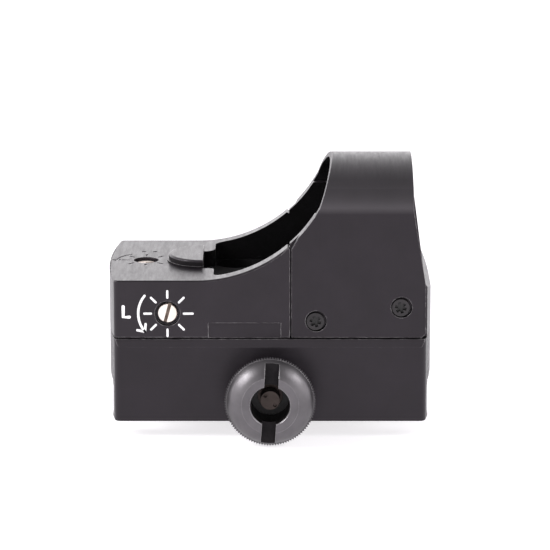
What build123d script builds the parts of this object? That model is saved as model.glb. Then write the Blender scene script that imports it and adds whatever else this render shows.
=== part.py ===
"""Compact open reflex (red dot) sight on a clamp for a slotted accessory rail.

Millimetres.  The origin is the centre of the rail seat, the flat underside that rests on the
rail's top.  +X points forward to the lens, +Y to the sight's left, +Z up.  The clamp knob is on -Y.
Each function below makes one sub-part, and the last lines write one STEP file for each.
"""

from build123d import *

import math
import os

# --- Driving dimensions ---------------------------------------------------------------------
SEAT_Z = 6.75  # sight's underside above the rail seat
HALF_W = 12.7  # half width of sight and mount
HALF_L = 23.0  # half length at the middle
CORNER_X = 21.9  # half length along the sides, because both ends are arcs
CORNER_R = 0.7  # upright corners of the plan
END_R = (HALF_W**2 + (HALF_L - CORNER_X) ** 2) / (2 * (HALF_L - CORNER_X))

# Sight body; heights are above SEAT_Z
DECK_H = 8.3
FLOOR_H = 6.0  # floor of the open channel
HOOD_X = 2.75  # the body's full-width part ends here
WALL_T = 2.4  # side walls of the channel
SWEEP_R = 19.7  # concave arc that rises from the deck to the hood
SWEEP_X = -10.4  # where that arc leaves the deck
NOSE_H = 4.9  # height at which the nose starts to lean back
NOSE_TOP = (21.6, 7.75)  # (X, height) where the nose meets the lens frame
DECK_FRONT_X = -9.6  # front edge of the deck, and flat face of the emitter cover

# Hood
HOOD_T = 1.3
ROOF_T = 0.75  # the hood is thinner at its crown
HOOD_GAP = 0.03  # fit between hood and body
SEAM = 0.25  # visible gap between hood and the full-width body
TOP_H = 23.77
CROWN_R = 22.0  # roof arc of the hood's section
SHOULDER_R = 4.0  # arcs that join roof and sides
RIM_X, RIM_H = 6.95, 18.67  # where the sweep meets the leaning rear rim
RIM_LEAN = 20.0  # degrees from upright
HOOD_FRONT_X = 20.1
HOOD_FRONT_BEND_H = 18.1
HOOD_TOE_H = 7.5
LEDGE_H = 17.5  # body walls inside the hood end here
FRAME_X = 15.2  # the lens frame starts here and closes the arch
EDGE_BREAK = 0.25  # rounding of the long outer edges

# Lens
LENS_TILT = 7.5  # degrees, top towards the eye
LENS_X, LENS_H = 18.9, 15.1
LENS_HALF_W, LENS_HALF_H = 10.9, 6.9
LENS_T = 2.0
LENS_CURVE_R = 90.0
LENS_BACK = -LENS_T / 2 - 1.0  # rear end of the seat, clear of the curved edge
BEZEL_T = 0.85

# Adjusters
WINDAGE_X, WINDAGE_H = -14.43, 3.57
ELEVATION_X = -17.8
HEAD_R = 1.4
WINDAGE_SUNK = 0.25
ELEVATION_SUNK = 0.4
POCKET_R = 1.8  # recess round a screw's head
POCKET_DEPTH = 0.9
THREAD_R = 0.8
FIT = 0.03  # radial running clearance of turning and sliding parts

# Rail clamp
MOUNT_BOTTOM = -5.4
RAIL_WALL_Y = 10.7  # inner walls beside the rail
RAIL_BEVEL_Z = -4.2  # below this the jaws lean in at 45 degrees
SPLIT_Y = -10.0  # inner face of the jaw's upper plate
JAW_GAP = 0.25
BOLT_Z = -1.2
BOLT_R = 1.75
STUD_R = 1.36  # thinner outer end of the bolt
HUB_T = 1.6  # threaded length of the knob
MOUNT_INSET = 0.02
MOUNT_EDGE_R = 0.18
PIN_X, PIN_Z, PIN_R = 15.0, 3.3, 1.0

# Knob; distances are outwards from the jaw's outer face
KNOB_R = 6.42
KNOB_RIM = 4.8
KNOB_FACE = 7.1
KNOB_RING_R = 4.0
KNOB_BORE_R = 2.75
KNOB_TEETH = 104
TOOTH = 0.3
SLOT_W = 1.98
SLOT_DEPTH = 1.64
SLOT_TURN = 3.3  # degrees

CELL_X, CELL_R, CELL_T = 8.0, 10.0, 3.2
SCREW_X, SCREW_Y = -5.2, 7.45
SCREW_HEAD_R, SCREW_R = 2.5, 1.45
PEG_X, PEG_Y, PEG_R = 18.6, 8.7, 0.75

BIG = 60.0


# --- Small helpers ---------------------------------------------------------------------------
def block(x, y, z):
    """Box between the pairs x, y and z."""
    size = (x[1] - x[0], y[1] - y[0], z[1] - z[0])
    middle = ((x[0] + x[1]) / 2, (y[0] + y[1]) / 2, (z[0] + z[1]) / 2)
    return Pos(*middle) * Box(*size)


def sight_block(x, y, h):
    """Box whose third pair is heights above the sight's underside."""
    return block(x, y, (SEAT_Z + h[0], SEAT_Z + h[1]))


def rod_z(x, y, radius, low, high):
    """Upright cylinder from low to high above the sight's underside."""
    return Pos(x, y, SEAT_Z + (low + high) / 2) * Cylinder(radius, high - low)


def rod_y(x, z, radius, start, stop):
    """Cylinder along Y."""
    return Pos(x, (start + stop) / 2, z) * Rot(90, 0, 0) * Cylinder(radius, abs(stop - start))


def plan(half_length, half_width, corner):
    """Plan outline: straight sides, arcs for the ends, rounded corners."""
    face = Rectangle(2 * half_length, 2 * half_width)
    for side in (1, -1):
        face = face & (Pos(side * (half_length - END_R), 0) * Circle(END_R))
    return fillet(face.vertices(), corner)


def arch(half_w, top, bottom, crown_r, corner_r):
    """Upright section with straight sides and a crowned top."""
    crown_y = top - crown_r
    corner_x = half_w - corner_r
    corner_y = crown_y + math.sqrt((crown_r - corner_r) ** 2 - corner_x**2)
    meet = math.atan2(corner_y - crown_y, corner_x)
    half = meet / 2
    side = (half_w, corner_y)
    bend = (corner_x + corner_r * math.cos(half), corner_y + corner_r * math.sin(half))
    join = (crown_r * math.cos(meet), crown_y + crown_r * math.sin(meet))
    left = [(-px, py) for px, py in (side, bend, join)]
    edges = [
        Line((half_w, bottom), side),
        ThreePointArc(side, bend, join),
        ThreePointArc(join, (0, top), left[2]),
        ThreePointArc(left[2], left[1], left[0]),
        Line(left[0], (-half_w, bottom)),
        Line((-half_w, bottom), (half_w, bottom)),
    ]
    return make_face(Wire(edges))


def hood_arch(inset, bottom, roof=None):
    """Hood section, moved in by inset at the sides and by roof at the crown."""
    roof = inset if roof is None else roof
    return arch(HALF_W - inset, TOP_H - roof, bottom, CROWN_R - roof, SHOULDER_R - inset)


def along_x(face, start, stop):
    """Carry a (Y, height) section from start to stop along X."""
    section = Plane((start, 0, SEAT_Z), x_dir=(0, 1, 0), z_dir=(1, 0, 0)) * face
    return extrude(section, amount=stop - start, dir=(1, 0, 0))


def across(face, start=-BIG, stop=BIG):
    """Carry an (X, height) outline from start to stop along Y."""
    outline = Plane((0, start, SEAT_Z), x_dir=(1, 0, 0), z_dir=(0, -1, 0)) * face
    return extrude(outline, amount=stop - start, dir=(0, 1, 0))


def sweep_height(x):
    """Height of the concave sweep at x."""
    return DECK_H + SWEEP_R - math.sqrt(SWEEP_R**2 - (x - SWEEP_X) ** 2)


def sweep_arc(start_x, stop_x):
    """Part of the concave sweep as an edge in (X, height)."""
    points = [(x, sweep_height(x)) for x in (start_x, (start_x + stop_x) / 2, stop_x)]
    return ThreePointArc(*points)


def rim_x(height):
    """X of the hood's leaning rear rim at a height."""
    return RIM_X + (height - RIM_H) * math.tan(math.radians(RIM_LEAN))


def both_sides(solid):
    """The solid and its mirror image across the middle plane."""
    return [solid, mirror(solid, about=Plane.XZ)]


def minus(shape, cutters):
    """The shape with each cutter taken away."""
    for cutter in cutters:
        shape = shape - cutter
    return shape


def lens_plane(forward):
    """Plane of the tilted lens, moved forward along its own normal."""
    tilt = math.radians(LENS_TILT)
    normal = Vector(math.cos(tilt), 0, math.sin(tilt))
    centre = Vector(LENS_X, 0, SEAT_Z + LENS_H) + normal * forward
    return Plane(centre, x_dir=(0, 1, 0), z_dir=normal)


def lens_outline(inset, bottom_inset=None):
    """Lens outline in its own plane, moved in by inset."""
    low = inset if bottom_inset is None else bottom_inset
    half_h = LENS_HALF_H - inset
    return arch(LENS_HALF_W - inset, half_h, -LENS_HALF_H + low, CROWN_R - 1.8 - inset, 2.2 - inset)


def lens_prism(inset, back, front, bottom_inset=None):
    """Prism of the lens outline between two distances along the lens normal."""
    face = lens_plane(back) * lens_outline(inset, bottom_inset)
    return extrude(face, amount=front - back, dir=lens_plane(0).z_dir)


# --- Sight body ------------------------------------------------------------------------------
DRIVE_X = (-20.3, -10.9)  # chamber of the adjuster drives
DRIVE_Y = 7.5
DRIVE_H = (1.0, 7.3)
BOSS_H = 5.2  # lower end of the boss round the elevation screw
BAY_X = (-9.4, -2.6)  # bay of the circuit board
BAY_Y = 4.4
BAY_H = 5.2
CELL_POCKET_R, CELL_POCKET_H = 10.15, 4.0
COUNTERBORE_H = 2.6
EYELET_X, EYELET_Y = (-13.6, -10.2), 2.6  # deck opening under the emitter cover
PANE_Y, PANE_H, PANE_T = 2.0, (6.4, 8.15), 0.33  # emitter window in the deck's front face
SENSOR_X, SENSOR_R = -6.5, 1.2  # light sensor under the channel floor
WAY_H = (3.15, 3.95)  # groove that keeps the windage nut from turning
SPINE_Y, SPINE_X = 0.75, -21.0  # groove that keeps the elevation yoke from turning
LEAD_Y, LEAD_H = 1.2, (4.15, 4.75)  # slit for the emitter's lead
HOOD_SCREWS = ((6.36, 2.36), (18.36, 4.35))  # (X, height) on both sides
HOOD_SCREW_R, HOOD_SHANK_R = 1.25, 0.78
HOOD_SCREW_SUNK, HOOD_SEAT_DEPTH = 0.2, 1.0  # head below the hood's face, and depth of its seat
HOOD_SEAT_R, HOOD_SEAT_SHIFT = 1.5, 0.1  # the seats sit a little up and forward of the screws
STAR_LOBE, STAR_CORE_R, STAR_DEPTH = 0.4, 0.45, 0.5
NOTCH_X, NOTCH_H, NOTCH_DEPTH = (-8.7, 1.5), 2.2, 0.22


def rear_block():
    """Full-width part of the body, from the rear end to the hood."""
    rear = -HALF_L - 1
    bend = HOOD_X - 0.35  # the top corner beside the hood is rounded
    corner = (HOOD_X, sweep_height(bend) - 0.2)
    edges = [
        Line((rear, 0), (rear, DECK_H)),
        Line((rear, DECK_H), (SWEEP_X, DECK_H)),
        sweep_arc(SWEEP_X, bend),
        Line((bend, sweep_height(bend)), corner),
        Line(corner, (HOOD_X, 0)),
        Line((HOOD_X, 0), (rear, 0)),
    ]
    raw = extrude(Pos(0, 0, SEAT_Z) * plan(HALF_L, HALF_W, CORNER_R), amount=TOP_H)
    solid = across(make_face(Wire(edges))) & raw
    skirt = solid.faces().sort_by(Axis.Z)[0].outer_wire().edges()
    solid = chamfer([e for e in skirt if e.center().X < HOOD_X - 0.1], 0.15)
    top_rim = [e for e in solid.edges() if on_top_rim(e)]
    return fillet(top_rim, EDGE_BREAK)


def on_top_rim(edge):
    """True for the outer edges of the deck and of the sweep."""
    heights = [v.Z - SEAT_Z for v in edge.vertices()]
    middle = edge.center()
    across_body = abs(middle.Y) < 0.5 and middle.X > -HALF_L + 1
    return min(heights) > DECK_H - 0.01 and middle.X < HOOD_X - 0.4 and not across_body


def front_block():
    """Narrower part of the body inside the hood, with the nose and the walls beside the lens."""
    gap = HOOD_T + HOOD_GAP
    frame_bend = (HOOD_FRONT_X + 0.1, HOOD_FRONT_BEND_H)
    frame_top = (HOOD_FRONT_X - 0.4, TOP_H)
    nose_mid = (HALF_L - 0.5, (NOSE_H + NOSE_TOP[1]) / 2 + 0.2)
    beyond = HALF_L + 1
    drop = SWEEP_R - (LEDGE_H - DECK_H)
    ledge_x = SWEEP_X + math.sqrt(SWEEP_R**2 - drop**2)
    edges = [
        Line((HOOD_X, 0), (beyond, 0)),
        Line((beyond, 0), (beyond, NOSE_H)),
        Line((beyond, NOSE_H), (HALF_L, NOSE_H)),
        ThreePointArc((HALF_L, NOSE_H), nose_mid, NOSE_TOP),
        Line(NOSE_TOP, frame_bend),
        Line(frame_bend, frame_top),
        Line(frame_top, (FRAME_X, TOP_H)),
        Line((FRAME_X, TOP_H), (FRAME_X, LEDGE_H)),
        Line((FRAME_X, LEDGE_H), (ledge_x, LEDGE_H)),
        sweep_arc(ledge_x, HOOD_X),
        Line((HOOD_X, sweep_height(HOOD_X)), (HOOD_X, 0)),
    ]
    raw = extrude(Pos(0, 0, SEAT_Z) * plan(HALF_L, HALF_W, CORNER_R), amount=TOP_H)
    section = hood_arch(gap, 0, ROOF_T + HOOD_GAP)
    solid = along_x(section, HOOD_X, beyond) & across(make_face(Wire(edges)))
    return solid & raw


def channel_cut():
    """Open channel between the walls, over the floor and out through the lens opening."""
    half = HALF_W - WALL_T
    open_top = TOP_H + 5
    bay_half, shoulder_x = 5.3, -8.0  # the floor reaches further back between the wells
    sill_x, sill_h = 17.6, 8.7  # foot of the lens opening
    ahead = HALF_L + 7
    outline = Polyline(
        (DECK_FRONT_X, -bay_half), (shoulder_x, -bay_half), (shoulder_x, -half), (HOOD_X, -half),
        (HOOD_X, half), (shoulder_x, half), (shoulder_x, bay_half), (DECK_FRONT_X, bay_half),
        close=True,
    )
    floor = make_face(outline)
    floor = fillet([v for v in floor.vertices() if abs(v.X - shoulder_x) < 0.1], 1.15)
    rear = extrude(Pos(0, 0, SEAT_Z + FLOOR_H) * floor, amount=open_top)
    sill = Polyline(
        (HOOD_X - 0.01, FLOOR_H), (sill_x - 1, FLOOR_H), (sill_x, sill_h), (ahead, sill_h),
        (ahead, open_top), (HOOD_X - 0.01, open_top), close=True,
    )
    front = along_x(hood_arch(WALL_T, 0), HOOD_X - 1, ahead) & across(make_face(sill))
    return [rear, front]


def screw_wells():
    """Counterbored holes of the two mounting screws."""
    wells = []
    for side in (1, -1):
        y = side * SCREW_Y
        wells.append(rod_z(SCREW_X, y, SCREW_HEAD_R + 0.2, COUNTERBORE_H, FLOOR_H + 1))
        wells.append(rod_z(SCREW_X, y, SCREW_R + 0.1, -1, COUNTERBORE_H))
    return wells


def deck_marks():
    """Shallow engraving round the elevation screw: seven ticks, a bent arrow and two dots."""
    depth, width = 0.15, 0.34
    tick_in, tick_out, arrow_r = 2.35, 3.5, 4.15
    level = Pos(ELEVATION_X, 0, SEAT_Z + DECK_H)
    pen = 2 * depth
    marks = []
    for eighth in range(1, 8):
        tick = Pos((tick_in + tick_out) / 2, 0) * Box(tick_out - tick_in, width, pen)
        marks.append(level * Rot(0, 0, 45 * eighth) * tick)
    ring = Cylinder(arrow_r + width / 2, pen) - Cylinder(arrow_r - width / 2, pen)
    fan = Polyline((0, 0), (-3.2, 5.5), (-6.5, 3.5), (-6.5, -0.55), close=True)
    marks.append(level * (ring & extrude(Pos(0, 0, -1) * make_face(fan), amount=2)))
    for lean in (50, -35):
        barb = Pos(-arrow_r, -0.35) * Rot(0, 0, 90 + lean) * Pos(0.45, 0) * Box(1.0, width, pen)
        marks.append(level * barb)
    for x in (-0.5, 1.1):
        marks.append(level * Pos(x, 5.2) * Cylinder(0.32, pen))
    return marks


def adjuster_bores():
    """Stepped bores of the windage screw (right side) and the elevation screw (deck)."""
    z = SEAT_Z + WINDAGE_H
    return [
        rod_y(WINDAGE_X, z, POCKET_R, -HALF_W - 1, -HALF_W + POCKET_DEPTH),
        rod_y(WINDAGE_X, z, HEAD_R + FIT, -HALF_W, -10.15),
        rod_y(WINDAGE_X, z, THREAD_R + 0.1, -10.2, -DRIVE_Y + 0.5),
        rod_z(ELEVATION_X, 0, POCKET_R, DECK_H - POCKET_DEPTH, DECK_H + 1),
        rod_z(ELEVATION_X, 0, HEAD_R + FIT, BOSS_H + 0.27, DECK_H),
        rod_z(ELEVATION_X, 0, THREAD_R + 0.1, 5, 6),
    ]


def drive_chamber():
    """Chamber for the two adjuster drives, with its boss, guide grooves and cover rebate."""
    chamber = sight_block(DRIVE_X, (-DRIVE_Y, DRIVE_Y), (-1, DRIVE_H[1]))
    chamber = chamber - rod_z(ELEVATION_X, 0, 1.95, BOSS_H, DRIVE_H[1] + 1)
    return [
        chamber,
        sight_block((-20.8, -10.5), (-7.85, 7.85), (-1, DRIVE_H[0])),
        sight_block((SPINE_X, DRIVE_X[0] + 0.1), (-SPINE_Y, SPINE_Y), (DRIVE_H[0], 6.6)),
        sight_block((-11, -10.3), (-2, 2), WAY_H),
        sight_block(EYELET_X, (-EYELET_Y, EYELET_Y), (DRIVE_H[1] - 0.5, DECK_H + 1)),
        sight_block((-11, -9), (-1.5, 1.5), (6.7, 7.9)),
        sight_block((DECK_FRONT_X - 0.4, -9), (-PANE_Y, PANE_Y), PANE_H),
    ]


def electronics_bay():
    """Board bay, coin cell pocket, lead slit, sensor hole and seal groove, all from below."""
    slit = sight_block((-11, -9), (-LEAD_Y, LEAD_Y), LEAD_H)
    groove = minus(seal_outline(0.55 + 0.05), [seal_outline(-0.05)])
    return [
        sight_block(BAY_X, (-BAY_Y, BAY_Y), (-1, BAY_H)),
        sight_block((-2.7, -1.0), (-1.5, 1.5), (-1, CELL_POCKET_H)),
        sight_block((-2.7, -1.0), (2.3, 4.4), (-1, 4.9)),
        rod_z(CELL_X, 0, CELL_POCKET_R, -1, CELL_POCKET_H),
        rod_z(SENSOR_X, 0, SENSOR_R, BAY_H - 0.1, FLOOR_H + 1),
        slit,
        groove,
    ]


def seal_outline(grow):
    """Keyhole-shaped prism round the cell pocket and the board bay."""
    height = (-0.5, 0.5)
    ring = rod_z(CELL_X, 0, 10.35 + grow, *height)
    return ring + sight_block((-9.65 - grow, 0), (-4.65 - grow, 4.65 + grow), height)


def body_fixings():
    """Holes for the locating pegs and hood screws, and the shallow side notches."""
    holes = []
    for x in (PEG_X, -PEG_X):
        for y in (PEG_Y, -PEG_Y):
            holes.append(rod_z(x, y, PEG_R + 0.05, -1, 1.7))
    for x, h in HOOD_SCREWS:
        holes += both_sides(rod_y(x, SEAT_Z + h, HOOD_SHANK_R + 0.02, HALF_W - WALL_T, HALF_W))
    notch = sight_block(NOTCH_X, (HALF_W - NOTCH_DEPTH, HALF_W + 1), (-1, NOTCH_H))
    return holes + both_sides(notch)


def main_body():
    """Sight body: rear deck, channel, side walls, lens frame and nose in one casting."""
    body = rear_block() + front_block()
    body = minus(body, channel_cut() + screw_wells())
    body = body - lens_prism(-0.3, LENS_BACK, 8)
    body = minus(body, drive_chamber() + adjuster_bores() + deck_marks())
    return minus(body, electronics_bay() + body_fixings())


# --- Hood ------------------------------------------------------------------------------------
def lens_hood():
    """Saddle-shaped cover over the front of the body and the lens."""
    start = HOOD_X + SEAM
    corner_h, turn = 12.75, start + 1.05  # the corner is cut off diagonally
    toe = (CORNER_X - 0.04, HOOD_TOE_H)
    rim_top = (rim_x(TOP_H + 1), TOP_H + 1)
    foot = 0.1
    edges = [
        Line((start, foot), (start, corner_h)),
        Line((start, corner_h), (turn, sweep_height(turn))),
        sweep_arc(turn, RIM_X),
        Line((RIM_X, sweep_height(RIM_X)), rim_top),
        Line(rim_top, (HOOD_FRONT_X, TOP_H + 1)),
        Line((HOOD_FRONT_X, TOP_H + 1), (HOOD_FRONT_X, HOOD_FRONT_BEND_H)),
        Line((HOOD_FRONT_X, HOOD_FRONT_BEND_H), toe),
        Line(toe, (toe[0], foot + 0.5)),
        Line((toe[0], foot + 0.5), (toe[0] - 0.5, foot)),
        Line((toe[0] - 0.5, foot), (start, foot)),
    ]
    section = hood_arch(0, -1) - hood_arch(HOOD_T, -2, ROOF_T)
    hood = along_x(section, 0, HALF_L + 1) & across(make_face(Wire(edges)))
    for x, h in HOOD_SCREWS:
        z = SEAT_Z + h
        shift = HOOD_SEAT_SHIFT
        seat = rod_y(x + shift, z + shift, HOOD_SEAT_R, HALF_W - HOOD_SEAT_DEPTH, HALF_W + 1)
        shank = rod_y(x, z, HOOD_SHANK_R + 0.07, HALF_W - WALL_T, HALF_W)
        hood = minus(hood, both_sides(seat) + both_sides(shank))
    return hood


def hood_screws():
    """Four small screws with six-lobed recesses, two on each side."""
    screws = []
    top, under = HALF_W - HOOD_SCREW_SUNK, HALF_W - HOOD_SEAT_DEPTH + 0.02
    for x, h in HOOD_SCREWS:
        z = SEAT_Z + h
        screw = rod_y(x, z, HOOD_SCREW_R, under, top)
        screw = screw + rod_y(x, z, HOOD_SHANK_R, HALF_W - WALL_T + 0.15, under + 0.1)
        screw = screw - rod_y(x, z, STAR_CORE_R, top - STAR_DEPTH, top + 1)
        for turn in (15, 75, 135):
            lobes = Box(4 * STAR_LOBE, 2 * STAR_DEPTH, STAR_LOBE)
            screw = screw - Pos(x, top, z) * Rot(0, turn, 0) * lobes
        screws += both_sides(screw)
    return screws


# --- Lens ------------------------------------------------------------------------------------
def lens():
    """Tilted, gently curved glass."""
    axis = lens_plane(0).z_dir
    front = lens_plane(LENS_T / 2).origin - axis * LENS_CURVE_R
    rear = lens_plane(-LENS_T / 2).origin - axis * LENS_CURVE_R
    glass = lens_prism(0, -LENS_T, LENS_T)
    glass = glass & (Pos(*front) * Sphere(LENS_CURVE_R))
    return glass - Pos(*rear) * Sphere(LENS_CURVE_R)


def lens_seal():
    """Soft ring between the edge of the glass and the frame."""
    front = LENS_T / 2 - 0.6
    return lens_prism(-0.28, LENS_BACK + 0.02, front) - lens_prism(-0.02, LENS_BACK - 1, front + 1)


def lens_bezel():
    """Front frame that holds the glass, with a taller sill."""
    back = LENS_T / 2 + 0.04
    ring = lens_prism(-0.27, back, back + BEZEL_T)
    return ring - lens_prism(0.55, back - 1, back + 2, bottom_inset=1.25)


# --- Emitter and adjusters ---------------------------------------------------------------------
COVER_R, COVER_H = 4.95, 1.08


def half_disc(radius, low, high):
    """Half-round plate on the deck, flat towards the lens."""
    front = DECK_FRONT_X
    edges = [
        ThreePointArc((front, -radius), (front - radius, 0), (front, radius)),
        Line((front, radius), (front, -radius)),
    ]
    face = Pos(0, 0, SEAT_Z + low) * make_face(Wire(edges))
    return extrude(face, amount=high - low)


def emitter_cover():
    """Low hump on the deck over the light emitter."""
    foot = DECK_H + 0.02
    hump = half_disc(COVER_R, foot, DECK_H + COVER_H)
    top = hump.faces().sort_by(Axis.Z)[-1]
    hump = fillet([e for e in top.edges() if e.center().X < DECK_FRONT_X - 0.05], 0.35)
    hump = hump + half_disc(COVER_R + 0.2, foot, DECK_H + 0.2)
    fit, wall = 0.05, 0.5
    spigot_x = (EYELET_X[0] + fit, EYELET_X[1] - fit)
    hollow_x = (EYELET_X[0] + wall, EYELET_X[1] - wall)
    spigot = sight_block(spigot_x, (-EYELET_Y + fit, EYELET_Y - fit), (7.95, DECK_H + 0.1))
    hollow = sight_block(hollow_x, (-EYELET_Y + wall, EYELET_Y - wall), (7, DECK_H + 0.4))
    return hump + spigot - hollow


def emitter_window():
    """Clear pane in the deck's front face, in front of the emitter."""
    back = DECK_FRONT_X - 0.4 + FIT
    half = PANE_Y - FIT
    return sight_block((back, back + PANE_T), (-half, half), (PANE_H[0] + FIT, PANE_H[1] - FIT))


def adjuster_screw(reach, clip_at):
    """Slotted screw with a sealed collar; its axis is -Z and its outer face is at 0."""
    screw = Pos(0, 0, -1.1) * Cylinder(HEAD_R, 2.2)
    screw = chamfer(screw.edges().sort_by(Axis.Z)[-1:], 0.12)
    screw = screw + Pos(0, 0, -(2.2 + reach) / 2) * Cylinder(THREAD_R, reach - 2.2)
    screw = screw - Box(4, 0.46, 1.1)
    seal = Pos(0, 0, -1.55) * (Cylinder(2, 0.5) - Cylinder(HEAD_R - 0.35, 0.5))
    clip_groove = Pos(0, 0, -clip_at) * (Cylinder(2, 0.3) - Cylinder(THREAD_R - 0.2, 0.3))
    return screw - seal - clip_groove


def adjuster_seal():
    """Ring in the collar of an adjuster screw."""
    ring = Cylinder(HEAD_R + FIT / 2, 0.46) - Cylinder(HEAD_R - 0.35, 0.46)
    return Pos(0, 0, -1.55) * ring


def adjuster_clip(clip_at):
    """Open retaining clip in its groove."""
    clip = Cylinder(1.35, 0.26) - Cylinder(THREAD_R - 0.2, 0.26)
    clip = clip - Pos(1, 0, 0) * Box(2, 0.9, 1)
    return Pos(0, 0, -clip_at) * clip


WINDAGE_PLACE = Pos(WINDAGE_X, -HALF_W + WINDAGE_SUNK, SEAT_Z + WINDAGE_H) * Rot(90, 0, 0) * Rot(0, 0, 75)
ELEVATION_PLACE = Pos(ELEVATION_X, 0, SEAT_Z + DECK_H - ELEVATION_SUNK) * Rot(0, 0, 20)
WINDAGE_REACH, WINDAGE_CLIP = 15.2, 5.2
ELEVATION_REACH, ELEVATION_CLIP = 6.5, 2.85

YOKE_ARM_H = (5.4, 6.6)
RAIL_ROD_H = 6.0
RAIL_ROD_X = (-14.5, -12.3)
RAIL_ROD_R = 0.4
NUT_HALF = 1.3


def windage_nut():
    """Block on the windage screw; its tongues run in the front wall and in the carrier."""
    x = (WINDAGE_X - NUT_HALF, WINDAGE_X + NUT_HALF)
    nut = sight_block(x, (-1.6, 1.6), (WINDAGE_H - NUT_HALF, WINDAGE_H + NUT_HALF))
    nut = nut + sight_block((x[1] - 0.1, -10.4), (-1.3, 1.3), (3.2, 3.9))
    nut = nut + sight_block((-13.8, -13.13), (-0.6, 0.6), (4.8, 6.2))
    return nut - rod_y(WINDAGE_X, SEAT_Z + WINDAGE_H, THREAD_R + FIT, -5, 5)


def elevation_yoke():
    """Fork on the elevation screw that carries the guide rods of the emitter carrier."""
    rear, front = -19.3, -16.1
    yoke = sight_block((rear, front), (-2.5, 2.5), (2.3, 4.3))
    yoke = yoke + sight_block((-20.9, rear + 0.1), (-0.7, 0.7), (2.3, 4.3))
    for side in (1, -1):
        y = tuple(sorted((side * 2.45, side * 3.6)))
        yoke = yoke + sight_block((rear, front), y, (2.3, YOKE_ARM_H[1]))
        yoke = yoke + sight_block((front - 0.1, -11.5), y, YOKE_ARM_H)
    for x in RAIL_ROD_X:
        yoke = yoke - rod_y(x, SEAT_Z + RAIL_ROD_H, RAIL_ROD_R, -4, 4)
    return yoke - rod_z(ELEVATION_X, 0, THREAD_R + FIT, 1, 6)


def guide_rods():
    """Two cross rods of the yoke."""
    return [rod_y(x, SEAT_Z + RAIL_ROD_H, RAIL_ROD_R, -3.55, 3.55) for x in RAIL_ROD_X]


def emitter_carrier():
    """Slider on the guide rods, with the post that holds the emitter."""
    carrier = sight_block((-15.2, -11.4), (-1.7, 1.7), YOKE_ARM_H)
    carrier = carrier + sight_block((-12.4, -11.4), (-1.2, 1.2), (6.5, 8.1))
    carrier = carrier - sight_block((-13.95, -12.98), (-0.65, 0.65), (5, 7))
    for x in RAIL_ROD_X:
        carrier = carrier - rod_y(x, SEAT_Z + RAIL_ROD_H, RAIL_ROD_R + FIT, -4, 4)
    return carrier


def light_emitter():
    """Chip on the carrier's post, facing the lens."""
    chip = sight_block((-11.4, -11.2), (-0.6, 0.6), (6.85, 7.95))
    return chip + sight_block((-11.25, -11.08), (-0.3, 0.3), (7.1, 7.7))


def emitter_lead():
    """Flat lead from the board, bent up beside the carrier."""
    flat = sight_block((-11.2, -8.4), (-0.8, 0.8), (4.38, 4.5))
    return flat + sight_block((-11.2, -11.08), (-0.8, 0.8), (4.38, 6.35))


# --- Electronics -------------------------------------------------------------------------------
def drive_cover():
    """Plate that closes the adjuster chamber from below."""
    return sight_block((-20.75, -10.55), (-7.8, 7.8), (0.04, DRIVE_H[0]))


BOARD_H = (4.5, 5.1)
CHIP_H = 0.7


def circuit_board():
    """Board under the channel floor, with three small chips below it."""
    half = BAY_Y - 0.2
    board = sight_block((BAY_X[0] + 0.2, BAY_X[1] - 0.4), (-half, half), BOARD_H)
    for x, y in ((-7.2, 2.4), (-7.2, -2.4), (-4.8, -2.2)):
        height = (BOARD_H[0] - CHIP_H, BOARD_H[0] + 0.05)
        board = board + sight_block((x - 0.8, x + 0.8), (y - 1, y + 1), height)
    return board


def light_sensor():
    """Brightness sensor on the board."""
    return sight_block((SENSOR_X - 0.7, SENSOR_X + 0.7), (-0.6, 0.6), (BOARD_H[1], BOARD_H[1] + 0.4))


def sensor_window():
    """Clear disc in the channel floor over the sensor."""
    return rod_z(SENSOR_X, 0, SENSOR_R - FIT, FLOOR_H - 0.38, FLOOR_H - 0.04)


def coin_cell():
    """Coin cell: wide can with a smaller raised terminal."""
    low = 0.2
    can = rod_z(CELL_X, 0, CELL_R, low, low + CELL_T - 0.25)
    return can + rod_z(CELL_X, 0, CELL_R - 1.6, low, low + CELL_T)


def terminal_contact():
    """Leaf from the board to the cell's raised terminal."""
    leaf = sight_block((-4.6, 8.5), (-0.9, 0.9), (3.55, 3.75))
    leaf = leaf + sight_block((6.5, 8.5), (-0.5, 0.5), (3.42, 3.6))
    return leaf + sight_block((-4.6, -4.35), (-0.9, 0.9), (3.6, 4.48))


def can_contact():
    """Leaf from the board to the rim of the cell."""
    leaf = sight_block((-2.0, -1.8), (2.6, 4.1), (0.9, 4.45))
    return leaf + sight_block((-3.6, -1.8), (2.6, 4.1), (4.25, 4.48))


def base_seal():
    """Flat seal in the underside, round the cell and the board."""
    ring = seal_outline(0.5) - seal_outline(0.0)
    return ring & sight_block((-BIG, BIG), (-BIG, BIG), (0.02, 0.45))


# --- Mount -------------------------------------------------------------------------------------
def mounting_screws():
    """Two socket-head screws that hold the sight on its mount."""
    screws = []
    for side in (1, -1):
        y = side * SCREW_Y
        screw = rod_z(SCREW_X, y, SCREW_HEAD_R, COUNTERBORE_H, COUNTERBORE_H + 2.0)
        screw = screw + rod_z(SCREW_X, y, SCREW_R, -5.2, COUNTERBORE_H + 0.1)
        socket = Pos(SCREW_X, y, SEAT_Z + COUNTERBORE_H + 1.0)
        screws.append(screw - socket * extrude(RegularPolygon(1.45, 6), amount=2))
    return screws


def locating_pegs():
    """Four pegs in the mount's top that place the sight."""
    pegs = []
    for x in (PEG_X, -PEG_X):
        for y in (PEG_Y, -PEG_Y):
            pegs.append(rod_z(x, y, PEG_R, -2.6, 1.5))
    return pegs


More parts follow.
